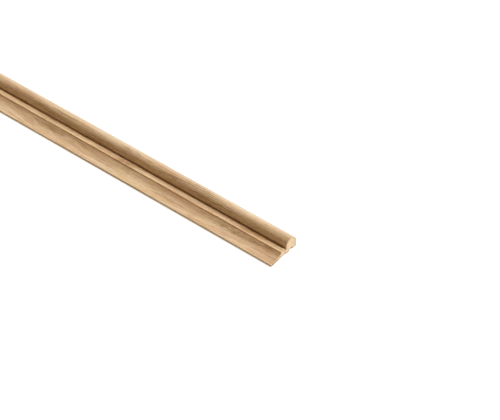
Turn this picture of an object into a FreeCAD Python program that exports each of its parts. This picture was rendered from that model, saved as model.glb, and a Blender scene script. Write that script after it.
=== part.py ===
import FreeCAD, Part
import math
import os

# One length of hardwood moulding, lying on its flat back.
# Millimetres. X runs along the length, Y across from the thin front lip to the bead, Z up.
# The origin is the middle of the underside.

# Overall size of the stock.
LENGTH = 2400.0
WIDTH = 30.0

# Thin front: an upright lip, a narrow flat margin and a hollow that sweeps up.
LIP_HEIGHT = 2.3
MARGIN_WIDTH = 2.4
COVE_RADIUS = 16.2
COVE_RUN = 9.6

# Flat fillet that stands a small step above the hollow.
FILLET_HEIGHT = 6.0
QUIRK_WIDTH = 1.2
QUIRK_DEPTH = 1.5

# Half-round bead along the thick back, standing on an upright side.
BEAD_RADIUS = 6.0
BEAD_CENTRE_HEIGHT = 6.6

# Underside: a wide shallow relief and a half-round groove below the bead.
RELIEF_FRONT = 10.0
RELIEF_WIDTH = 8.4
RELIEF_DEPTH = 0.8
GROOVE_CENTRE = 23.5
GROOVE_RADIUS = 1.8

# Small rounding of the arrises that a hand would touch.
EASING = 0.3
STEP_EASING = 0.5
QUIRK_EASING = 0.2
SAME_PLACE = 0.001

HALF_TURN = 180.0
QUARTER_TURN = 90.0


def at(across, height):
    """Point of the section, measured from the foot of the front lip."""
    return FreeCAD.Vector(-LENGTH / 2, across - WIDTH / 2, height)


def turned(point, centre, angle):
    """Point swung about a centre in the plane of the section."""
    turn = FreeCAD.Rotation(FreeCAD.Vector(1, 0, 0), angle)
    return centre + turn.multVec(point - centre)


def line(edges, start, end):
    """Add a straight stretch and give its end."""
    edges.append(Part.LineSegment(start, end).toShape())
    return end


def arc(edges, start, centre, angle):
    """Add a round stretch about a centre and give its end."""
    middle = turned(start, centre, angle / 2)
    end = turned(start, centre, angle)
    edges.append(Part.Arc(start, middle, end).toShape())
    return end


def lip_and_cove(edges, point):
    """Front lip, flat margin and the hollow that starts level with it."""
    point = line(edges, point, at(0, LIP_HEIGHT))
    point = line(edges, point, at(MARGIN_WIDTH, LIP_HEIGHT))
    centre = at(MARGIN_WIDTH, LIP_HEIGHT + COVE_RADIUS)
    sweep = math.degrees(math.asin(COVE_RUN / COVE_RADIUS))
    return arc(edges, point, centre, sweep)


def fillet_and_quirk(edges, point):
    """Step up to the flat fillet, then the narrow round-bottomed quirk."""
    cove_end = MARGIN_WIDTH + COVE_RUN
    bead_front = WIDTH - 2 * BEAD_RADIUS
    quirk_radius = QUIRK_WIDTH / 2
    quirk_centre_height = FILLET_HEIGHT - QUIRK_DEPTH + quirk_radius
    quirk_front = bead_front - QUIRK_WIDTH
    point = line(edges, point, at(cove_end, FILLET_HEIGHT))
    point = line(edges, point, at(quirk_front, FILLET_HEIGHT))
    point = line(edges, point, at(quirk_front, quirk_centre_height))
    centre = at(quirk_front + quirk_radius, quirk_centre_height)
    point = arc(edges, point, centre, HALF_TURN)
    return line(edges, point, at(bead_front, BEAD_CENTRE_HEIGHT))


def bead_and_back(edges, point):
    """Half-round bead that runs tangent into the upright back."""
    centre = at(WIDTH - BEAD_RADIUS, BEAD_CENTRE_HEIGHT)
    point = arc(edges, point, centre, -HALF_TURN)
    return line(edges, point, at(WIDTH, 0))


def underside(edges, point):
    """Flat base with the half-round groove and the shallow relief."""
    relief_back = RELIEF_FRONT + RELIEF_WIDTH
    point = line(edges, point, at(GROOVE_CENTRE + GROOVE_RADIUS, 0))
    point = arc(edges, point, at(GROOVE_CENTRE, 0), HALF_TURN)
    point = line(edges, point, at(relief_back, 0))
    point = arc(edges, point, at(relief_back - RELIEF_DEPTH, 0), QUARTER_TURN)
    point = line(edges, point, at(RELIEF_FRONT + RELIEF_DEPTH, RELIEF_DEPTH))
    point = arc(edges, point, at(RELIEF_FRONT + RELIEF_DEPTH, 0), QUARTER_TURN)
    return line(edges, point, at(0, 0))


def section():
    """Face of the moulded section."""
    edges = []
    point = lip_and_cove(edges, at(0, 0))
    point = fillet_and_quirk(edges, point)
    point = bead_and_back(edges, point)
    underside(edges, point)
    return Part.Face(Part.Wire(edges))


def long_edge(solid, corner):
    """Edge that runs the whole length through one corner of the section."""
    for edge in solid.Edges:
        ends = [vertex.Point for vertex in edge.Vertexes]
        along = abs(ends[0].x - ends[-1].x)
        gap = FreeCAD.Vector(0, ends[0].y - corner.y, ends[0].z - corner.z).Length
        if along > LENGTH / 2 and gap < SAME_PLACE:
            return edge
    raise ValueError("no long edge at this corner")


def eased(solid):
    """Round the arrises of the lip, the fillet and the back."""
    cove_end = MARGIN_WIDTH + COVE_RUN
    quirk_front = WIDTH - 2 * BEAD_RADIUS - QUIRK_WIDTH
    corners = [at(0, LIP_HEIGHT), at(0, 0), at(WIDTH, 0)]
    solid = solid.makeFillet(EASING, [long_edge(solid, corner) for corner in corners])
    solid = solid.makeFillet(STEP_EASING, [long_edge(solid, at(cove_end, FILLET_HEIGHT))])
    return solid.makeFillet(QUIRK_EASING, [long_edge(solid, at(quirk_front, FILLET_HEIGHT))])


def moulding():
    """The whole length of stock with both ends cut square."""
    blank = section().extrude(FreeCAD.Vector(LENGTH, 0, 0))
    return eased(blank)


os.makedirs("parts", exist_ok=True)
moulding().exportStep("parts/moulding.step")
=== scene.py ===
import math
from typing import NamedTuple

import bmesh
import bpy
from bpy.props import FloatProperty, FloatVectorProperty, IntProperty, PointerProperty
from mathutils import Matrix, Vector, noise
from mathutils.geometry import intersect_point_line


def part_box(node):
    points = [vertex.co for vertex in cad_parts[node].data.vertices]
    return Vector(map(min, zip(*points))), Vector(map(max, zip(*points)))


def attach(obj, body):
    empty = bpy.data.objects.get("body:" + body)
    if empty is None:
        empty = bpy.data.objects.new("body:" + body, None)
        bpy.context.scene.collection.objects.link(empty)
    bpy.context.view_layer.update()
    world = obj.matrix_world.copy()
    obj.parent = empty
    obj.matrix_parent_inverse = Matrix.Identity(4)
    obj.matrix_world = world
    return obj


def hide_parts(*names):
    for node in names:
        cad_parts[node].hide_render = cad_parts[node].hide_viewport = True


bl_info = {
    "name": "Oak Moulding",
    "version": (1, 0, 0),
    "blender": (4, 5, 0),
    "location": "3D View > Sidebar > Moulding",
    "description": "A length of oak moulding with a bead, a quirk, a fillet and a hollow",
    "category": "Add Mesh",
}

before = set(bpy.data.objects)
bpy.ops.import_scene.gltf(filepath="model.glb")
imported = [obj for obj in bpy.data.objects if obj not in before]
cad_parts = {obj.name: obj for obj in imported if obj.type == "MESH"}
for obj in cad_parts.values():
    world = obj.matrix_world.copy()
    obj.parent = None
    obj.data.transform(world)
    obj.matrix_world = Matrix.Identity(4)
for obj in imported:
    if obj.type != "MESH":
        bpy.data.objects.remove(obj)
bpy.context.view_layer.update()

NODE = "moulding"
BODY = "root"
LOW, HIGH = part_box(NODE)
MILLIMETRE = 0.001


# Sizes and colours


def distance(name, description, default):
    """A length in metres that the user may change."""
    return FloatProperty(
        name=name,
        description=description,
        default=default,
        min=0.0,
        unit="LENGTH",
        subtype="DISTANCE",
        precision=5,
    )


def colour(name, description, default):
    """A colour, written in linear light, that the user may change."""
    return FloatVectorProperty(
        name=name,
        description=description,
        default=default,
        min=0.0,
        max=1.0,
        size=3,
        subtype="COLOR",
    )


def factor(name, description, default, highest=1.0):
    """A plain share or strength that the user may change."""
    return FloatProperty(
        name=name,
        description=description,
        default=default,
        min=0.0,
        max=highest,
        subtype="FACTOR",
    )


class SectionSizes(bpy.types.PropertyGroup):
    """Sizes of the moulded section, the same as those of the solid."""

    lip_height: distance("Lip Height", "Upright front lip", 2.3 * MILLIMETRE)
    margin_width: distance("Margin Width", "Flat strip behind the lip", 2.4 * MILLIMETRE)
    cove_radius: distance("Cove Radius", "Radius of the hollow", 16.2 * MILLIMETRE)
    cove_run: distance("Cove Run", "Width of the hollow", 9.6 * MILLIMETRE)
    fillet_height: distance("Fillet Height", "Height of the flat fillet", 6.0 * MILLIMETRE)
    quirk_width: distance("Quirk Width", "Groove beside the bead", 1.2 * MILLIMETRE)
    quirk_depth: distance("Quirk Depth", "Depth of that groove", 1.5 * MILLIMETRE)
    bead_radius: distance("Bead Radius", "Radius of the half-round", 6.0 * MILLIMETRE)
    relief_front: distance("Relief Front", "Lip to the relief below", 10.0 * MILLIMETRE)
    relief_width: distance("Relief Width", "Width of the relief below", 8.4 * MILLIMETRE)
    relief_depth: distance("Relief Depth", "Depth of the relief below", 0.8 * MILLIMETRE)
    groove_centre: distance("Groove Centre", "Lip to the back groove", 23.5 * MILLIMETRE)
    groove_radius: distance("Groove Radius", "Radius of the back groove", 1.8 * MILLIMETRE)
    easing: distance("Easing", "Rounding of the long arrises", 0.3 * MILLIMETRE)
    step_easing: distance("Step Easing", "Rounding of the front of the fillet", 0.5 * MILLIMETRE)
    quirk_easing: distance("Quirk Easing", "Rounding at the quirk", 0.2 * MILLIMETRE)
    end_break: distance("End Break", "Broken edge round the cut ends", 0.22 * MILLIMETRE)
    # Width of the painted shade round the rim of the cut ends.
    rim_reach: distance("Rim Reach", "Width of the worn rim of the cut ends", 1.2 * MILLIMETRE)
    saw_pitch: distance("Saw Pitch", "Distance between saw marks", 0.45 * MILLIMETRE)
    saw_depth: distance("Saw Depth", "Depth of the saw marks", 0.012 * MILLIMETRE)
    stations: IntProperty(
        name="Stations",
        description="Number of sections along the length",
        default=241,
        min=2,
        max=400,
    )


class OakColours(bpy.types.PropertyGroup):
    """Colours and figure of the bare oak."""

    light: colour("Light Wood", "Pale wood between the growth lines", (0.86, 0.64, 0.41))
    dark: colour("Dark Wood", "Growth lines and dark streaks", (0.40, 0.225, 0.10))
    warm: colour("Warm Tint", "Pinkish stretches", (0.76, 0.46, 0.27))
    pore: colour("Pores", "Open pores", (0.27, 0.145, 0.06))
    fleck: colour("Ray Flecks", "Pale medullary rays", (0.88, 0.68, 0.45))
    # Painted shade: dark colour for the narrow quirk, where shade falls.
    painted_quirk_shade: colour("Burnish", "Darkened wood in the narrow groove", (0.30, 0.16, 0.055))
    # Painted sheen: pale colour over the crest of the bead.
    painted_crest_sheen: colour("Sanded Crest", "Paler wood over the crest of the bead", (0.63, 0.58, 0.49))
    # Painted light: paler colour for the front of the lip, which lies in shade.
    painted_lip_light: colour("Lip Front", "Paler wood on the front of the lip", (0.95, 0.80, 0.62))
    end_light: colour("End Grain", "Pale wood of the cut ends", (0.80, 0.61, 0.40))
    end_dark: colour("End Lines", "Growth lines of the cut ends", (0.46, 0.31, 0.17))
    end_ray: colour("End Rays", "Pale rays of the cut ends", (0.93, 0.74, 0.55))
    end_grey: colour("End Mottle", "Greyer spots of the cut ends", (0.66, 0.50, 0.33))
    # Painted shade round the rim of the cut ends.
    end_rim_shade: colour("End Rim", "Worn rim of the cut ends", (0.29, 0.23, 0.175))
    ring_width: distance("Ring Width", "Width of one growth ring", 1.5 * MILLIMETRE)
    sway: distance("Sway", "How far the grain sways to each side", 7.6 * MILLIMETRE)
    sway_period: distance("Sway Period", "Length of one sway", 0.74)


class StageSettings(bpy.types.PropertyGroup):
    """Floor, light and surroundings."""

    floor_colour: colour("Floor", "Pale floor", (0.80, 0.77, 0.68))
    sun_strength: factor("Sun", "Strength of the main light", 4.5, 10.0)
    sun_colour: colour("Sun Colour", "Colour of the main light", (0.87, 0.925, 1.0))
    sun_softness: FloatProperty(
        name="Sun Softness",
        description="Apparent width of the main light",
        default=math.radians(30.0),
        min=0.0,
        max=math.pi,
        unit="ROTATION",
        subtype="ANGLE",
    )
    sky_strength: factor("Sky", "Strength of the even light from all round", 0.20, 10.0)
    sky_colour: colour("Sky Colour", "Colour of the even light", (1.0, 0.70, 0.38))


# Section of the moulding

SMOOTH_STEP = math.radians(6.0)
FEWEST_PIECES = 3
LONGEST_FLAT = 0.9 * MILLIMETRE


class Outline:
    """Points of a closed outline in the plane across the moulding."""

    def __init__(self, start):
        self.points = [start]

    def line(self, across, height):
        """Straight stretch, with a point about every millimetre."""
        start = self.points[-1]
        end = Vector((across, height))
        pieces = max(1, round((end - start).length / LONGEST_FLAT))
        for i in range(1, pieces + 1):
            self.points.append(start.lerp(end, i / pieces))

    def arc(self, centre, angle):
        """Round stretch about a centre."""
        spoke = self.points[-1] - centre
        pieces = max(FEWEST_PIECES, math.ceil(abs(angle) / SMOOTH_STEP))
        for i in range(1, pieces + 1):
            turn = Matrix.Rotation(angle * i / pieces, 2)
            self.points.append(centre + turn @ spoke)


def section_points(sizes):
    """Outline from the foot of the lip, up over the face and back along the base."""
    front, back = LOW.y, HIGH.y
    bead = sizes.bead_radius
    bead_height = HIGH.z - bead
    bead_front = back - 2 * bead
    ease = sizes.easing
    quarter = math.pi / 2
    outline = Outline(Vector((front, ease)))

    outline.line(front, sizes.lip_height - ease)
    outline.arc(Vector((front + ease, sizes.lip_height - ease)), -quarter)
    cove_start = front + sizes.margin_width
    outline.line(cove_start, sizes.lip_height)
    sweep = math.asin(sizes.cove_run / sizes.cove_radius)
    outline.arc(Vector((cove_start, sizes.lip_height + sizes.cove_radius)), sweep)

    step = cove_start + sizes.cove_run
    top = sizes.fillet_height
    round_step = sizes.step_easing
    outline.line(step, top - round_step)
    outline.arc(Vector((step + round_step, top - round_step)), -quarter)
    quirk_front = bead_front - sizes.quirk_width
    soft = sizes.quirk_easing
    outline.line(quirk_front - soft, top)
    outline.arc(Vector((quirk_front - soft, top - soft)), -quarter)
    quirk_radius = sizes.quirk_width / 2
    quirk_height = top - sizes.quirk_depth + quirk_radius
    outline.line(quirk_front, quirk_height)
    outline.arc(Vector((quirk_front + quirk_radius, quirk_height)), math.pi)

    outline.line(bead_front, bead_height)
    outline.arc(Vector((back - bead, bead_height)), -math.pi)
    outline.line(back, ease)
    outline.arc(Vector((back - ease, ease)), -quarter)

    groove = front + sizes.groove_centre
    outline.line(groove + sizes.groove_radius, 0.0)
    outline.arc(Vector((groove, 0.0)), math.pi)
    depth = sizes.relief_depth
    relief_front = front + sizes.relief_front
    relief_back = relief_front + sizes.relief_width
    outline.line(relief_back, 0.0)
    outline.arc(Vector((relief_back - depth, 0.0)), quarter)
    outline.line(relief_front + depth, depth)
    outline.arc(Vector((relief_front + depth, 0.0)), quarter)
    outline.line(front + ease, 0.0)
    outline.arc(Vector((front + ease, ease)), -quarter)
    return outline.points[:-1]


def inset(points, amount):
    """Outline moved into the wood by a small amount."""
    moved = []
    for i, point in enumerate(points):
        along = (points[(i + 1) % len(points)] - points[i - 1]).normalized()
        moved.append(point + amount * Vector((along.y, -along.x)))
    return moved


# Mesh of the moulding

SHARP_ANGLE = math.radians(32.0)
END_GRAIN_INDEX = 1

# How the saw crossed the ends, and the stretch and fineness of its marks.
SAW_ANGLE = 1.1
SAW_MARK_STRETCH = 12
SAW_MARK_FINENESS = 700
SAME_PLACE = 1e-7

# Painted shade on the rim of the ends, by the way that the side at the rim faces. In the thin front,
# near the lip, the rim is wider and its lower edge darker.
RIM_SHADE_BELOW = 1.4
RIM_SHADE_BACK = 1.0
RIM_SHADE_ABOVE = 0.3
FACES_DOWN = -0.3
FACES_UP = 0.3
FACES_BACK = 0.6
THIN_FRONT = 9.0 * MILLIMETRE
THIN_WIDENING = 1.1
THIN_RIM_SHADE = 0.3


def ring_of(mesh, x, points):
    """One section of vertices at a place along the length."""
    return [mesh.verts.new((x, point.x, point.y)) for point in points]


def bridge(mesh, near, far):
    """Faces of the long sides between two sections."""
    count = len(near)
    for i in range(count):
        j = (i + 1) % count
        mesh.faces.new((near[i], far[i], far[j], near[j])).smooth = True


def side_rim_shade(outward, thin_front):
    """How dark the painted shade of the rim is beside one side of the section."""
    if outward.y < FACES_DOWN:
        return RIM_SHADE_BELOW + THIN_RIM_SHADE * thin_front
    if outward.y < FACES_UP and outward.x > FACES_BACK:
        return RIM_SHADE_BACK
    return RIM_SHADE_ABOVE


def rim_share(point, outline, reach):
    """How much painted shade the end has at a point: most at its lower and back edges."""
    share = 0.0
    thin_front = max(0.0, 1.0 - (point.x - LOW.y) / THIN_FRONT)
    deep = reach * (1.0 + THIN_WIDENING * thin_front)
    for i, end in enumerate(outline):
        start = outline[i - 1]
        along = intersect_point_line(point, start, end)[1]
        near = start.lerp(end, min(max(along, 0.0), 1.0))
        side = (end - start).normalized()
        darkened = side_rim_shade(Vector((-side.y, side.x)), thin_front)
        share = max(share, darkened * (1.0 - (point - near).length / deep))
    return share


def divided(mesh, face, middle, directions, pitch):
    """Parts of a face after it is cut into a grid of small ones."""
    parts = [face, *face.edges, *face.verts]
    steps = math.ceil((HIGH.y - LOW.y) / pitch)
    for direction in directions:
        for k in range(-steps, steps + 1):
            cut = bmesh.ops.bisect_plane(
                mesh,
                geom=parts,
                plane_co=middle + direction * k * pitch,
                plane_no=direction,
                dist=SAME_PLACE,
            )
            parts = cut["geom"]
    return parts


def cut_end(mesh, ring, outward, sizes):
    """End face with shallow marks of the saw, and the share of painted shade on its rim."""
    face = mesh.faces.new(ring if outward > 0 else ring[::-1])
    face.material_index = END_GRAIN_INDEX
    saw_line = Vector((0.0, math.cos(SAW_ANGLE), math.sin(SAW_ANGLE)))
    across_saw = Vector((0.0, -saw_line.z, saw_line.y))
    middle = Vector((ring[0].co.x, 0.0, 0.0))
    parts = divided(mesh, face, middle, (saw_line, across_saw), sizes.saw_pitch)
    rim = mesh.verts.layers.float["rim"]
    outline = [vertex.co.yz for vertex in ring]
    edge = set(ring)
    for vertex in {v for part in parts if isinstance(part, bmesh.types.BMFace) for v in part.verts}:
        vertex[rim] = rim_share(vertex.co.yz, outline, sizes.rim_reach)
        if vertex in edge:
            continue
        along = vertex.co.dot(saw_line)
        across = vertex.co.dot(across_saw) / SAW_MARK_STRETCH
        mark = noise.noise(Vector((along, across, 0.0)) * SAW_MARK_FINENESS)
        vertex.co.x -= outward * sizes.saw_depth * (1.0 + mark) / 2


def moulding_mesh(sizes):
    """The whole length as one closed mesh."""
    points = section_points(sizes)
    mesh = bmesh.new()
    mesh.verts.layers.float.new("rim")
    edge = sizes.end_break
    places = [
        LOW.x + edge + (HIGH.x - LOW.x - 2 * edge) * i / (sizes.stations - 1)
        for i in range(sizes.stations)
    ]
    rings = [ring_of(mesh, LOW.x, inset(points, edge))]
    rings += [ring_of(mesh, x, points) for x in places]
    rings += [ring_of(mesh, HIGH.x, inset(points, edge))]
    for near, far in zip(rings, rings[1:]):
        bridge(mesh, near, far)
    cut_end(mesh, rings[0], -1, sizes)
    cut_end(mesh, rings[-1], 1, sizes)
    bmesh.ops.recalc_face_normals(mesh, faces=mesh.faces)
    data = bpy.data.meshes.new("oak_moulding")
    mesh.to_mesh(data)
    mesh.free()
    data.set_sharp_from_angle(angle=SHARP_ANGLE)
    return data


# Shader building

# Sockets of a Mix node that belong to colours: it has others for numbers and vectors.
MIX_SHARE = 0
MIX_FIRST = 6
MIX_SECOND = 7
MIX_RESULT = 2
NOISE_MIDDLE = 0.5


class Net:
    """Adds shader nodes to a tree and joins them."""

    def __init__(self, tree):
        self.tree = tree

    def add(self, kind, *values, **settings):
        """New node. Values fill its inputs in order; None leaves one as it is."""
        node = self.tree.nodes.new(kind)
        for name, value in settings.items():
            setattr(node, name, value)
        for socket, value in zip(node.inputs, values):
            self.put(socket, value)
        return node

    def put(self, socket, value):
        """Set or join one input."""
        if value is None:
            return
        if isinstance(value, bpy.types.NodeSocket):
            self.tree.links.new(value, socket)
        elif socket.type == "RGBA":
            socket.default_value = (*value, 1.0)
        else:
            socket.default_value = value

    def math(self, operation, first, second=None, third=None):
        """One sum."""
        return self.add("ShaderNodeMath", first, second, third, operation=operation).outputs[0]

    def stretch(self, vector, along, across):
        """Coordinates counted in the size of a grain feature."""
        parts = self.add("ShaderNodeSeparateXYZ", vector).outputs
        return self.add(
            "ShaderNodeCombineXYZ",
            self.math("DIVIDE", parts["X"], along),
            self.math("DIVIDE", parts["Y"], across),
            self.math("DIVIDE", parts["Z"], across),
        ).outputs[0]

    def cloud(self, vector, detail=2.0, roughness=0.5):
        """Soft random value from 0 to 1."""
        node = self.add("ShaderNodeTexNoise")
        self.put(node.inputs["Vector"], vector)
        self.put(node.inputs["Scale"], 1.0)
        self.put(node.inputs["Detail"], detail)
        self.put(node.inputs["Roughness"], roughness)
        return node.outputs[0]

    def swing(self, vector, along, across, detail=2.0):
        """Soft random value about nought, stretched along the grain."""
        value = self.cloud(self.stretch(vector, along, across), detail)
        return self.math("SUBTRACT", value, NOISE_MIDDLE)

    def spots(self, vector, amount, outer, inner):
        """Soft round spots in a share of the cells of a random pattern."""
        cells = self.add("ShaderNodeTexVoronoi", voronoi_dimensions="3D", feature="F1")
        self.put(cells.inputs["Vector"], vector)
        self.put(cells.inputs["Scale"], 1.0)
        shade = self.add("ShaderNodeSeparateColor", cells.outputs["Color"]).outputs["Red"]
        chosen = self.math("LESS_THAN", shade, amount)
        return self.math("MULTIPLY", self.ramp(cells.outputs["Distance"], outer, inner), chosen)

    def total(self, start, shares, values):
        """A value with a share of each of some named ones added to it."""
        for name, share in shares.items():
            start = self.math("MULTIPLY_ADD", values[name], share, start)
        return start

    def ramp(self, value, low, high, to_low=0.0, to_high=1.0):
        """Smooth change of a value between two limits."""
        node = self.add("ShaderNodeMapRange", interpolation_type="SMOOTHSTEP", clamp=True)
        for name, number in (
            ("Value", value),
            ("From Min", low),
            ("From Max", high),
            ("To Min", to_low),
            ("To Max", to_high),
        ):
            self.put(node.inputs[name], number)
        return node.outputs[0]

    def mix(self, share, first, second, blend="MIX"):
        """Two colours mixed by a share."""
        node = self.add("ShaderNodeMix", data_type="RGBA", blend_type=blend)
        self.put(node.inputs[MIX_SHARE], share)
        self.put(node.inputs[MIX_FIRST], first)
        self.put(node.inputs[MIX_SECOND], second)
        return node.outputs[MIX_RESULT]

    def group(self, tree, **values):
        """A node group placed with its own values."""
        node = self.add("ShaderNodeGroup", node_tree=tree)
        for name, value in values.items():
            self.put(node.inputs[name.replace("_", " ").title()], value)
        return node.outputs


def new_group(name, inputs, outputs):
    """Empty shader group with named inputs and outputs."""
    tree = bpy.data.node_groups.new(name, "ShaderNodeTree")
    for socket, kind, default in inputs:
        made = tree.interface.new_socket(name=socket, in_out="INPUT", socket_type=kind)
        if default is not None:
            made.default_value = default
    for socket, kind in outputs:
        tree.interface.new_socket(name=socket, in_out="OUTPUT", socket_type=kind)
    net = Net(tree)
    entry = net.add("NodeGroupInput").outputs
    leave = net.add("NodeGroupOutput").inputs
    return net, entry, leave


FLOAT = "NodeSocketFloat"
VECTOR = "NodeSocketVector"
COLOUR = "NodeSocketColor"


# Grain

# Along and across the grain: the slow wandering of the rings, their quick waves, the
# ripple of the whole grain and the stretches in which it ripples most.
SLOW_WANDER = (0.30, 0.09)
QUICK_WAVE = (0.055, 0.008)
RIPPLE_SIZE = (0.016, 0.011)
CURLY_SIZE = (0.045, 0.015)
CURLY_LEVELS = (0.42, 0.66, 0.25, 1.0)
RIPPLE = 5.0 * MILLIMETRE
WHERE_GRAIN_LIES_STRAIGHT = 175 * MILLIMETRE


def growth_rings():
    """Rings about a far-off pith, wandering slowly along the length."""
    net, entry, leave = new_group(
        "growth_rings",
        [
            ("Vector", VECTOR, None),
            ("Pith Across", FLOAT, -87.0 * MILLIMETRE),
            ("Pith Height", FLOAT, -48.0 * MILLIMETRE),
            ("Ring Width", FLOAT, 1.5 * MILLIMETRE),
            ("Wander", FLOAT, 6.0 * MILLIMETRE),
            ("Waviness", FLOAT, 1.6 * MILLIMETRE),
        ],
        [("Phase", FLOAT), ("Tone", FLOAT), ("Depth", FLOAT), ("Angle", FLOAT)],
    )
    vector = entry["Vector"]
    parts = net.add("ShaderNodeSeparateXYZ", vector).outputs
    across = net.math("SUBTRACT", parts["Y"], entry["Pith Across"])
    height = net.math("SUBTRACT", parts["Z"], entry["Pith Height"])
    squares = net.math("MULTIPLY_ADD", across, across, net.math("MULTIPLY", height, height))
    radius = net.math("SQRT", squares)
    slow = net.swing(vector, *SLOW_WANDER, detail=1.0)
    quick = net.swing(vector, *QUICK_WAVE)
    moved = net.math("MULTIPLY_ADD", slow, entry["Wander"], radius)
    moved = net.math("MULTIPLY_ADD", quick, entry["Waviness"], moved)
    counted = net.math("DIVIDE", moved, entry["Ring Width"])
    net.put(leave["Phase"], net.math("FRACT", counted))
    random = net.add("ShaderNodeTexWhiteNoise", noise_dimensions="1D")
    net.put(random.inputs["W"], net.math("FLOOR", counted))
    net.put(leave["Tone"], random.outputs["Value"])
    net.put(leave["Depth"], moved)
    net.put(leave["Angle"], net.math("ARCTAN2", height, across))
    return net.tree


# Distances from the middle of a cell between which a pore or a ray in it comes up.
PORE_EDGE = (0.42, 0.22)
RAY_EDGE = (0.45, 0.2)


def long_pores():
    """Open vessels cut lengthwise: short dashes, or dots on the end."""
    net, entry, leave = new_group(
        "long_pores",
        [
            ("Vector", VECTOR, None),
            ("Length", FLOAT, 5.0 * MILLIMETRE),
            ("Width", FLOAT, 0.3 * MILLIMETRE),
            ("Amount", FLOAT, 0.5),
        ],
        [("Mask", FLOAT)],
    )
    place = net.stretch(entry["Vector"], entry["Length"], entry["Width"])
    net.put(leave["Mask"], net.spots(place, entry["Amount"], *PORE_EDGE))
    return net.tree


def grain_streaks():
    """Soft streaks along the grain."""
    net, entry, leave = new_group(
        "grain_streaks",
        [
            ("Vector", VECTOR, None),
            ("Length", FLOAT, 60.0 * MILLIMETRE),
            ("Width", FLOAT, 1.2 * MILLIMETRE),
            ("Low", FLOAT, 0.3),
            ("High", FLOAT, 0.7),
        ],
        [("Value", FLOAT)],
    )
    vector = net.stretch(entry["Vector"], entry["Length"], entry["Width"])
    value = net.cloud(vector, detail=3.0, roughness=0.6)
    net.put(leave["Value"], net.ramp(value, entry["Low"], entry["High"]))
    return net.tree


# Size of a ray: along the piece, out from the pith and round it, the last in radians.
RAY_LENGTH = 6.0 * MILLIMETRE
RAY_HEIGHT = 4.0 * MILLIMETRE
RAY_TURN = 0.003


def ray_flecks():
    """Medullary rays: thin sheets that run out from the pith."""
    net, entry, leave = new_group(
        "ray_flecks",
        [
            ("Vector", VECTOR, None),
            ("Depth", FLOAT, 0.1),
            ("Angle", FLOAT, 0.5),
            ("Amount", FLOAT, 0.35),
        ],
        [("Mask", FLOAT)],
    )
    parts = net.add("ShaderNodeSeparateXYZ", entry["Vector"]).outputs
    place = net.add(
        "ShaderNodeCombineXYZ",
        net.math("DIVIDE", parts["X"], RAY_LENGTH),
        net.math("DIVIDE", entry["Depth"], RAY_HEIGHT),
        net.math("DIVIDE", entry["Angle"], RAY_TURN),
    ).outputs[0]
    net.put(leave["Mask"], net.spots(place, entry["Amount"], *RAY_EDGE))
    return net.tree


def grain_place(net, vector, sway, period):
    """Coordinates in the wood: the grain sways gently to each side along the length."""
    parts = net.add("ShaderNodeSeparateXYZ", vector).outputs
    along = net.math("SUBTRACT", parts["X"], HIGH.x - WHERE_GRAIN_LIES_STRAIGHT)
    turns = net.math("DIVIDE", along, period)
    swing = net.math("COSINE", net.math("MULTIPLY", turns, 2 * math.pi))
    across = net.math("MULTIPLY_ADD", swing, sway, parts["Y"])
    ripple = net.swing(vector, *RIPPLE_SIZE)
    curly = net.ramp(net.cloud(net.stretch(vector, *CURLY_SIZE), detail=1.0), *CURLY_LEVELS)
    across = net.math("MULTIPLY_ADD", net.math("MULTIPLY", ripple, curly), RIPPLE, across)
    return net.add("ShaderNodeCombineXYZ", parts["X"], across, parts["Z"]).outputs[0]


# Figure of the oak


class Patch(NamedTuple):
    """A soft patch of wood, measured in millimetres from the cut end and the lip."""

    from_end: float
    from_lip: float
    reach: float
    breadth: float
    slope: float
    strength: float


# Dark, pale and warm patches that show in the photograph, placed one by one.
FIGURE = {
    "wing_flame": Patch(236, 8.5, 34, 4.0, 0.02, 0.75),
    "wing_knot_shade": Patch(205, 10.5, 14, 2.5, -0.05, 0.30),
    "fillet_shade": Patch(158, 13.5, 20, 4.0, 0.0, 0.65),
    "far_fillet_shade": Patch(232, 15.3, 34, 2.4, 0.0, 0.90),
    "bead_streak": Patch(112, 21.0, 30, 1.0, 0.075, 0.75),
    "bead_shade": Patch(84, 23.5, 16, 1.8, 0.0, 0.45),
    "bead_curl": Patch(97, 22.3, 9, 1.5, 0.0, 0.60),
    "middle_bead_curl": Patch(165, 22.6, 10, 1.7, 0.0, 0.55),
    "far_bead_curl": Patch(240, 22.3, 10, 1.4, 0.0, 0.55),
    "end_flame": Patch(46, 9.2, 44, 3.0, 0.015, 0.70),
    "end_shade": Patch(0, 6.0, 34, 8.0, 0.0, 0.40),
    "end_streaks": Patch(12, 10.3, 30, 2.6, 0.0, 1.0),
    "quirk_shade": Patch(36, 16.0, 56, 2.2, 0.0, 0.95),
    "far_bead_shade": Patch(232, 22.0, 34, 1.5, -0.01, 0.35),
}
PALE = {
    "end_crest": Patch(40, 25.2, 68, 5.0, 0.0, 0.95),
    "far_lip": Patch(236, 1.4, 44, 2.4, 0.0, 0.55),
    "end_wing": Patch(44, 6.4, 54, 2.4, 0.02, 0.40),
}
WARM = {
    "middle_hollow": Patch(104, 10.8, 52, 4.4, 0.0, 0.90),
    "middle_bead": Patch(150, 20.5, 44, 3.0, 0.0, 0.45),
    "end_hollow": Patch(14, 8.5, 32, 5.0, 0.0, 0.80),
    "end_lip": Patch(10, 2.8, 26, 3.6, 0.0, 0.70),
}


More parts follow.
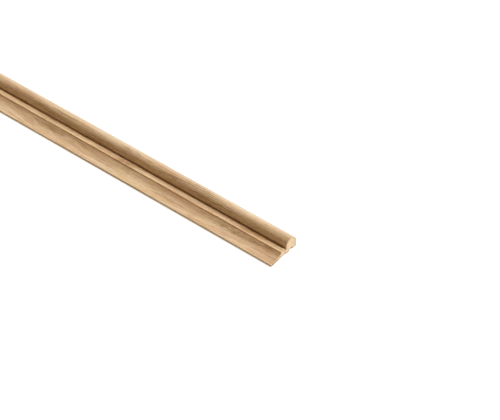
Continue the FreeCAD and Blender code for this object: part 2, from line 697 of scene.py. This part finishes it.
def figure_patches(net, vector, patches):
    """Soft patches of the figure, the strongest at each place."""
    parts = net.add("ShaderNodeSeparateXYZ", vector).outputs
    shade = None
    for patch in patches.values():
        along = net.math("SUBTRACT", parts["X"], HIGH.x - patch.from_end * MILLIMETRE)
        across = net.math("SUBTRACT", parts["Y"], LOW.y + patch.from_lip * MILLIMETRE)
        across = net.math("MULTIPLY_ADD", along, -patch.slope, across)
        away = net.add(
            "ShaderNodeCombineXYZ",
            net.math("DIVIDE", along, patch.reach * MILLIMETRE),
            net.math("DIVIDE", across, patch.breadth * MILLIMETRE),
            0.0,
        ).outputs[0]
        length = net.add("ShaderNodeVectorMath", away, operation="LENGTH").outputs["Value"]
        one = net.ramp(length, 1.0, 0.0, 0.0, patch.strength)
        shade = one if shade is None else net.math("MAXIMUM", shade, one)
    return shade


class Streak(NamedTuple):
    """Streaks along the grain: size in millimetres, and the levels where they come up."""

    length: float
    width: float
    low: float
    high: float


STREAKS = {
    "drift": Streak(55, 5.0, 0.40, 0.62),
    "thin": Streak(24, 0.8, 0.42, 0.72),
    "dashes": Streak(13, 1.1, 0.56, 0.68),
    "ticks": Streak(7.5, 0.7, 0.56, 0.64),
    "hair": Streak(35, 0.5, 0.50, 0.61),
    "broad": Streak(110, 5.0, 0.35, 0.65),
    "tint": Streak(50, 3.0, 0.42, 0.62),
    "straw": Streak(22, 4.5, 0.40, 0.60),
}

# How much each kind of streak darkens the dark patches, and how much all of the wood.
PATCH_STREAKS = {"late": 0.3, "thin": 0.7, "hair": 0.6, "ticks": 0.7, "dashes": 0.5}
PATCH_GROUND = 0.04
WOOD_STREAKS = {"thin": 0.26, "hair": 0.22, "dashes": 0.26, "ticks": 0.26, "broad": 0.12}


def streak_values(net, parts, place):
    """Every kind of streak at a place in the wood, by its name."""
    values = {}
    for name, streak in STREAKS.items():
        values[name] = net.group(
            parts["streaks"],
            vector=place,
            length=streak.length * MILLIMETRE,
            width=streak.width * MILLIMETRE,
            low=streak.low,
            high=streak.high,
        )["Value"]
    return values


# Parts of a growth ring, from 0 to 1 across it: the open early wood fades out, the
# dark late wood comes up, and the ring ends.
EARLY_WOOD = (0.45, 0.05)
LATE_WOOD = (0.45, 0.85)
RING_END = (1.0, 0.93)

# Pores: length, width and share of the cells that hold one. The late wood has few.
FINE_PORES = (4.0 * MILLIMETRE, 0.28 * MILLIMETRE, 0.55)
FINE_PORE_DARKNESS = 0.7
COARSE_PORES = (12.0 * MILLIMETRE, 0.55 * MILLIMETRE, 0.4)
LATE_WOOD_PORES = 0.3


def late_wood(net, rings):
    """Dark late wood at the outside of each ring."""
    phase = rings["Phase"]
    return net.math("MULTIPLY", net.ramp(phase, *LATE_WOOD), net.ramp(phase, *RING_END))


def wood_pores(net, parts, place, rings):
    """Fine and coarse pores, most of them in the early wood."""
    kinds = []
    for length, width, amount in (FINE_PORES, COARSE_PORES):
        pores = net.group(parts["pores"], vector=place, length=length, width=width, amount=amount)
        kinds.append(pores["Mask"])
    fine, coarse = kinds
    pores = net.math("MAXIMUM", net.math("MULTIPLY", fine, FINE_PORE_DARKNESS), coarse)
    early = net.ramp(rings["Phase"], *EARLY_WOOD)
    return net.math("MULTIPLY", pores, net.ramp(early, 0.0, 1.0, LATE_WOOD_PORES, 1.0))


# How far the growth lines come and go along the grain, how strong the warm streaks
# are, and the straw tone of some stretches.
DRIFT_SHARE = 0.8
TINT_SHARE = 0.6
STRAW = (0.99, 0.99, 0.90)


def oak_figure(parts):
    """Colour of bare oak, with the masks of its pores and growth lines."""
    net, entry, leave = new_group(
        "oak_figure",
        [
            ("Vector", VECTOR, None),
            ("Light", COLOUR, None),
            ("Dark", COLOUR, None),
            ("Warm", COLOUR, None),
            ("Pore", COLOUR, None),
            ("Fleck", COLOUR, None),
            ("Ring Width", FLOAT, 1.5 * MILLIMETRE),
            ("Sway", FLOAT, 7.6 * MILLIMETRE),
            ("Sway Period", FLOAT, 0.74),
            ("Line Strength", FLOAT, 0.5),
            ("Pore Strength", FLOAT, 0.45),
            ("Ray Strength", FLOAT, 0.18),
        ],
        [("Color", COLOUR), ("Pores", FLOAT), ("Lines", FLOAT)],
    )
    place = grain_place(net, entry["Vector"], entry["Sway"], entry["Sway Period"])
    rings = net.group(parts["rings"], vector=place, ring_width=entry["Ring Width"])
    streaks = streak_values(net, parts, place)
    streaks["late"] = late_wood(net, rings)
    drift = net.math("MULTIPLY_ADD", streaks["drift"], DRIFT_SHARE, 1.0 - DRIFT_SHARE)
    lines = net.math("MULTIPLY", net.math("MULTIPLY", streaks["late"], rings["Tone"]), drift)
    pores = wood_pores(net, parts, place, rings)
    rays = net.group(parts["rays"], vector=place, depth=rings["Depth"], angle=rings["Angle"])["Mask"]

    shade = figure_patches(net, entry["Vector"], FIGURE)
    pale = figure_patches(net, entry["Vector"], PALE)
    warm = figure_patches(net, entry["Vector"], WARM)
    striped = net.math("MULTIPLY", shade, net.total(PATCH_GROUND, PATCH_STREAKS, streaks))
    darkness = net.math("MULTIPLY_ADD", lines, entry["Line Strength"], striped)
    darkness = net.total(darkness, WOOD_STREAKS, streaks)
    darkness = net.math("MULTIPLY", darkness, net.math("SUBTRACT", 1.0, pale))
    darkness = net.math("MINIMUM", darkness, 1.0)
    tint = net.math("MAXIMUM", net.math("MULTIPLY", streaks["tint"], TINT_SHARE), warm)

    wood = net.mix(tint, entry["Light"], entry["Warm"])
    wood = net.mix(streaks["straw"], wood, net.mix(1.0, wood, STRAW, "MULTIPLY"))
    wood = net.mix(darkness, wood, entry["Dark"])
    wood = net.mix(net.math("MULTIPLY", rays, entry["Ray Strength"]), wood, entry["Fleck"])
    wood = net.mix(net.math("MULTIPLY", pores, entry["Pore Strength"]), wood, entry["Pore"])
    net.put(leave["Color"], wood)
    net.put(leave["Pores"], pores)
    net.put(leave["Lines"], lines)
    return net.tree


def saw_lines():
    """Fine parallel scratches that a saw leaves across the end."""
    net, entry, leave = new_group(
        "saw_lines",
        [
            ("Vector", VECTOR, None),
            ("Angle", FLOAT, SAW_ANGLE),
            ("Pitch", FLOAT, 0.3 * MILLIMETRE),
        ],
        [("Height", FLOAT)],
    )
    parts = net.add("ShaderNodeSeparateXYZ", entry["Vector"]).outputs
    level = net.math("MULTIPLY", parts["Y"], net.math("COSINE", entry["Angle"]))
    level = net.math("MULTIPLY_ADD", parts["Z"], net.math("SINE", entry["Angle"]), level)
    counted = net.add("ShaderNodeCombineXYZ", net.math("DIVIDE", level, entry["Pitch"])).outputs[0]
    net.put(leave["Height"], net.cloud(counted))
    return net.tree


# Distances from its line, counted in its reach, between which a tone comes up.
TONE_EDGE = (1.0, 0.35)


def edge_tone():
    """Change of tone about a line that runs the whole length."""
    net, entry, leave = new_group(
        "edge_tone",
        [
            ("Vector", VECTOR, None),
            ("Across", FLOAT, 3.0 * MILLIMETRE),
            ("Height", FLOAT, 6.0 * MILLIMETRE),
            ("Reach", FLOAT, 1.1 * MILLIMETRE),
        ],
        [("Mask", FLOAT)],
    )
    parts = net.add("ShaderNodeSeparateXYZ", entry["Vector"]).outputs
    across = net.math("SUBTRACT", parts["Y"], entry["Across"])
    height = net.math("SUBTRACT", parts["Z"], entry["Height"])
    squares = net.math("MULTIPLY_ADD", across, across, net.math("MULTIPLY", height, height))
    away = net.math("DIVIDE", net.math("SQRT", squares), entry["Reach"])
    net.put(leave["Mask"], net.ramp(away, *TONE_EDGE))
    return net.tree


def wood_groups():
    """Every grain effect, built once."""
    parts = {
        "rings": growth_rings(),
        "pores": long_pores(),
        "streaks": grain_streaks(),
        "rays": ray_flecks(),
    }
    return {"oak": oak_figure(parts), "saw": saw_lines(), "edge": edge_tone()}


# Materials

# Sanded bare wood: a weak sheen, and pores a little below the surface.
SPECULAR = 0.1
RELIEF_STRENGTH = 0.35
RELIEF_HEIGHT = 0.12 * MILLIMETRE


def new_material(name):
    """New material with its surface shader and the place in the wood."""
    material = bpy.data.materials.new(name)
    material.use_nodes = True
    tree = material.node_tree
    tree.nodes.clear()
    net = Net(tree)
    surface = net.add("ShaderNodeBsdfPrincipled")
    output = net.add("ShaderNodeOutputMaterial")
    net.put(output.inputs["Surface"], surface.outputs["BSDF"])
    place = net.add("ShaderNodeTexCoord").outputs["Object"]
    return material, net, surface.inputs, place


def place_oak(net, groups, place, colours, **values):
    """The oak figure, with the pores and the sizes that all of its faces share."""
    return net.group(
        groups["oak"],
        vector=place,
        pore=tuple(colours.pore),
        ring_width=colours.ring_width,
        sway=colours.sway,
        sway_period=colours.sway_period,
        **values,
    )


def finish_wood(net, surface, colour, roughness, height):
    """Colour, roughness and relief of a wood face."""
    net.put(surface["Base Color"], colour)
    net.put(surface["Roughness"], roughness)
    surface["Specular IOR Level"].default_value = SPECULAR
    bump = net.add("ShaderNodeBump")
    net.put(bump.inputs["Strength"], RELIEF_STRENGTH)
    net.put(bump.inputs["Distance"], RELIEF_HEIGHT)
    net.put(bump.inputs["Height"], height)
    net.put(surface["Normal"], bump.outputs["Normal"])


# Painted light and shade along the lines of the section. A warm painted shade lies in the hollow and
# on the side of the bead, a painted sheen a little in front of the back and below the top, and
# painted light on the front of the lip.
PAINTED_SHADE_WARMTH = (1.0, 0.975, 0.93)
HOLLOW_REACH = 6.0 * MILLIMETRE
SIDE_ABOVE_FILLET = 4.0 * MILLIMETRE
SIDE_REACH = 4.5 * MILLIMETRE
CREST_FROM_BACK = 1.1 * MILLIMETRE
CREST_FROM_TOP = 2.4 * MILLIMETRE
CREST_REACH = 6.0 * MILLIMETRE
CREST_STRENGTH = 0.75
LIP_MIDDLE = 0.45
LIP_REACH = 1.6 * MILLIMETRE
LIP_STRENGTH = 0.5

# Painted shade lies in the quirk at the foot of the bead, and is strongest near the cut end.
QUIRK_SHADE_BEHIND_SIDE = 0.1 * MILLIMETRE
QUIRK_SHADE_REACH = 1.1 * MILLIMETRE
QUIRK_SHADE_STARTS = 260 * MILLIMETRE
QUIRK_SHADE_IS_FULL = 20 * MILLIMETRE
QUIRK_SHADE_STRENGTHS = (0.16, 0.62)


def painted_light_and_shade(net, groups, place, wood, colours, sizes):
    """Wood with painted light and shade that follow the hollow, the bead, the lip and the quirk."""
    tones = groups["edge"]
    foot = LOW.y + sizes.margin_width + sizes.cove_run
    bead_front = HIGH.y - 2 * sizes.bead_radius
    fillet = sizes.fillet_height

    def about(across, height, reach):
        """Mask that is full along one line of the section."""
        return net.group(tones, vector=place, across=across, height=height, reach=reach)["Mask"]

    # Warm painted shade in the hollow and on the side of the bead.
    hollow = about(foot, fillet, HOLLOW_REACH)
    side = about(bead_front, fillet + SIDE_ABOVE_FILLET, SIDE_REACH)
    shaded = net.math("MAXIMUM", hollow, side)
    wood = net.mix(shaded, wood, net.mix(1.0, wood, PAINTED_SHADE_WARMTH, "MULTIPLY"))
    # Painted sheen over the crest of the bead, a little in front of the back.
    crest = about(HIGH.y - CREST_FROM_BACK, HIGH.z - CREST_FROM_TOP, CREST_REACH)
    wood = net.mix(net.math("MULTIPLY", crest, CREST_STRENGTH), wood, tuple(colours.painted_crest_sheen))
    # Painted light on the front of the lip, which lies in shade.
    lip = about(LOW.y, LIP_MIDDLE * sizes.lip_height, LIP_REACH)
    wood = net.mix(net.math("MULTIPLY", lip, LIP_STRENGTH), wood, tuple(colours.painted_lip_light))
    # Painted shade in the quirk, strongest near the cut end.
    quirk_shade_mask = about(bead_front + QUIRK_SHADE_BEHIND_SIDE, fillet, QUIRK_SHADE_REACH)
    along = net.add("ShaderNodeSeparateXYZ", place).outputs["X"]
    starts = HIGH.x - QUIRK_SHADE_STARTS
    share = net.ramp(along, starts, HIGH.x - QUIRK_SHADE_IS_FULL, *QUIRK_SHADE_STRENGTHS)
    return net.mix(net.math("MULTIPLY", quirk_shade_mask, share), wood, tuple(colours.painted_quirk_shade))


LONG_ROUGHNESS = (0.5, 0.8)
LINE_RELIEF = 0.25


def long_grain(groups, colours, sizes):
    """Planed and sanded faces along the length."""
    material, net, surface, place = new_material("oak_long_grain")
    wood = place_oak(
        net,
        groups,
        place,
        colours,
        light=tuple(colours.light),
        dark=tuple(colours.dark),
        warm=tuple(colours.warm),
        fleck=tuple(colours.fleck),
        line_strength=0.75,
        pore_strength=0.6,
        ray_strength=0.2,
    )
    toned = painted_light_and_shade(net, groups, place, wood["Color"], colours, sizes)
    roughness = net.ramp(wood["Pores"], 0.0, 1.0, *LONG_ROUGHNESS)
    raised = net.math("MULTIPLY", wood["Lines"], LINE_RELIEF)
    height = net.math("MULTIPLY_ADD", wood["Pores"], -1.0, raised)
    finish_wood(net, surface, toned, roughness, height)
    return material


# Ends: depth of the mottle into the wood, width of its spots and of the patches of the painted shade
# on the rim, and the levels between which each comes up.
MOTTLE_DEPTH = 20.0 * MILLIMETRE
SPOT_WIDTH = 1.4 * MILLIMETRE
SPOT_LEVELS = (0.45, 0.65, 0.0, 0.7)
RIM_PATCH_WIDTH = 0.9 * MILLIMETRE
RIM_PATCH_LEVELS = (0.3, 0.6, 0.7, 1.0)
RIM_LEVELS = (0.0, 0.6)
END_ROUGHNESS = (0.65, 0.9)
SCRATCH_RELIEF = 0.6


def end_grain(groups, colours):
    """Sawn ends: growth lines in section, open pores and fine saw scratches."""
    material, net, surface, place = new_material("oak_end_grain")
    wood = place_oak(
        net,
        groups,
        place,
        colours,
        light=tuple(colours.end_light),
        dark=tuple(colours.end_dark),
        warm=tuple(colours.end_light),
        fleck=tuple(colours.end_ray),
        line_strength=1.0,
        pore_strength=0.5,
        ray_strength=0.7,
    )
    mottle = net.cloud(net.stretch(place, MOTTLE_DEPTH, SPOT_WIDTH), detail=3.0)
    toned = net.mix(net.ramp(mottle, *SPOT_LEVELS), wood["Color"], tuple(colours.end_grey))
    # Painted shade round the rim of the end, in patches.
    rim = net.add("ShaderNodeAttribute", attribute_name="rim").outputs["Fac"]
    patches = net.cloud(net.stretch(place, MOTTLE_DEPTH, RIM_PATCH_WIDTH))
    patchy = net.ramp(patches, *RIM_PATCH_LEVELS)
    darkened = net.math("MULTIPLY", net.ramp(rim, *RIM_LEVELS), patchy)
    toned = net.mix(darkened, toned, tuple(colours.end_rim_shade))
    roughness = net.ramp(wood["Pores"], 0.0, 1.0, *END_ROUGHNESS)
    scratches = net.group(groups["saw"], vector=place)["Height"]
    sunk = net.math("MULTIPLY", wood["Pores"], -1.0)
    height = net.math("MULTIPLY_ADD", scratches, SCRATCH_RELIEF, sunk)
    finish_wood(net, surface, toned, roughness, height)
    return material


# Stage

# The photograph's view, found by laying the long edges and the cut end over it. The
# camera's place is measured from the lower front corner of that end.
VIEW_AZIMUTH = math.radians(39.80)
VIEW_ELEVATION = math.radians(43.24)
VIEW_ROLL = math.radians(-0.63)
VIEW_LENS = 130.2
FILM_WIDTH = 36.0
NEAREST = 0.01
FARTHEST = 50.0
NEAR_CORNER = Vector((HIGH.x, LOW.y, LOW.z))
CAMERA_OFFSET = Vector((0.5988, -0.7426, 0.9560))


def add_camera():
    """Camera at the photograph's angle on the square-cut end."""
    data = bpy.data.cameras.new("camera")
    data.lens = VIEW_LENS
    data.sensor_width = FILM_WIDTH
    data.clip_start = NEAREST
    data.clip_end = FARTHEST
    camera = bpy.data.objects.new("camera", data)
    turn = Matrix.Rotation(VIEW_AZIMUTH, 4, "Z")
    tilt = Matrix.Rotation(math.pi / 2 - VIEW_ELEVATION, 4, "X")
    roll = Matrix.Rotation(VIEW_ROLL, 4, "Z")
    camera.matrix_world = Matrix.Translation(NEAR_CORNER + CAMERA_OFFSET) @ turn @ tilt @ roll
    bpy.context.scene.collection.objects.link(camera)
    bpy.context.scene.camera = camera


WHITE = (1.0, 1.0, 1.0)
SUN_DIRECTION = Vector((0.55, 0.51, 0.66))
FLOOR_REACH = 6.0
FLOOR_GLOW = 0.76


def add_sun(stage):
    """Main light, from above and behind the bead."""
    data = bpy.data.lights.new("main_light", "SUN")
    data.energy = stage.sun_strength
    data.color = stage.sun_colour
    data.angle = stage.sun_softness
    sun = bpy.data.objects.new("main_light", data)
    sun.rotation_euler = SUN_DIRECTION.to_track_quat("Z", "Y").to_euler()
    bpy.context.scene.collection.objects.link(sun)


def backdrop_share(net):
    """One where the camera, a reflection or a refraction looks straight at a backdrop."""
    rays = net.add("ShaderNodeLightPath").outputs
    seen = net.math("MAXIMUM", rays["Is Camera Ray"], rays["Is Glossy Ray"])
    return net.math("MAXIMUM", seen, rays["Is Transmission Ray"])


def add_sky(stage):
    """Even light from all round, white to the camera."""
    world = bpy.data.worlds.new("even_light")
    world.use_nodes = True
    world.node_tree.nodes.clear()
    net = Net(world.node_tree)
    light = net.add("ShaderNodeBackground", tuple(stage.sky_colour), stage.sky_strength)
    white = net.add("ShaderNodeBackground", WHITE, 1.0)
    mix = net.add("ShaderNodeMixShader", backdrop_share(net), light.outputs[0], white.outputs[0])
    net.add("ShaderNodeOutputWorld", mix.outputs[0])
    bpy.context.scene.world = world


def floor_material(stage):
    """Pale floor that looks white and keeps the shadow."""
    material = bpy.data.materials.new("pale_floor")
    material.use_nodes = True
    material.node_tree.nodes.clear()
    net = Net(material.node_tree)
    lit = net.add("ShaderNodeBsdfDiffuse", tuple(stage.floor_colour))
    seen = net.math("MULTIPLY", backdrop_share(net), FLOOR_GLOW)
    glow = net.add("ShaderNodeEmission", WHITE, seen)
    both = net.add("ShaderNodeAddShader", lit.outputs[0], glow.outputs[0])
    net.add("ShaderNodeOutputMaterial", both.outputs[0])
    return material


def add_floor(stage):
    """Level floor that the moulding lies on."""
    signs = [(-1, -1), (1, -1), (1, 1), (-1, 1)]
    corners = [(x * FLOOR_REACH, y * FLOOR_REACH, LOW.z) for x, y in signs]
    data = bpy.data.meshes.new("floor")
    data.from_pydata(corners, [], [(0, 1, 2, 3)])
    data.materials.append(floor_material(stage))
    floor = bpy.data.objects.new("floor", data)
    bpy.context.scene.collection.objects.link(floor)


# Operators


class MOULDING_OT_length(bpy.types.Operator):
    """Build the length of moulding with its wood"""

    bl_idname = "moulding.build_length"
    bl_label = "Build Moulding"

    def execute(self, context):
        groups = wood_groups()
        colours = context.scene.oak_colours
        data = moulding_mesh(context.scene.section_sizes)
        data.materials.append(long_grain(groups, colours, context.scene.section_sizes))
        data.materials.append(end_grain(groups, colours))
        piece = bpy.data.objects.new("oak_moulding", data)
        context.scene.collection.objects.link(piece)
        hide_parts(NODE)
        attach(piece, BODY)
        return {"FINISHED"}


class MOULDING_OT_stage(bpy.types.Operator):
    """Build the floor, the light and the camera"""

    bl_idname = "moulding.build_stage"
    bl_label = "Build Stage"

    def execute(self, context):
        stage = context.scene.stage_settings
        add_floor(stage)
        add_sun(stage)
        add_sky(stage)
        add_camera()
        context.scene.view_settings.view_transform = "Standard"
        return {"FINISHED"}


class VIEW3D_PT_moulding(bpy.types.Panel):
    """Sidebar panel of the moulding"""

    bl_label = "Moulding"
    bl_space_type = "VIEW_3D"
    bl_region_type = "UI"
    bl_category = "Moulding"

    def draw(self, context):
        layout = self.layout
        for settings, operator in (
            (("section_sizes", "oak_colours"), MOULDING_OT_length),
            (("stage_settings",), MOULDING_OT_stage),
        ):
            box = layout.box()
            for group_name in settings:
                group = getattr(context.scene, group_name)
                for name in group.__annotations__:
                    box.prop(group, name)
            box.operator(operator.bl_idname)


CLASSES = (
    SectionSizes,
    OakColours,
    StageSettings,
    MOULDING_OT_length,
    MOULDING_OT_stage,
    VIEW3D_PT_moulding,
)


def register():
    """Make the settings, the operators and the panel known."""
    for each in CLASSES:
        bpy.utils.register_class(each)
    bpy.types.Scene.section_sizes = PointerProperty(type=SectionSizes)
    bpy.types.Scene.oak_colours = PointerProperty(type=OakColours)
    bpy.types.Scene.stage_settings = PointerProperty(type=StageSettings)


def unregister():
    """Take the settings, the operators and the panel away again."""
    del bpy.types.Scene.stage_settings
    del bpy.types.Scene.oak_colours
    del bpy.types.Scene.section_sizes
    for each in reversed(CLASSES):
        bpy.utils.unregister_class(each)


def main():
    """Build the moulding and its stage."""
    register()
    bpy.ops.moulding.build_length()
    bpy.ops.moulding.build_stage()


if __name__ == "__main__":
    main()
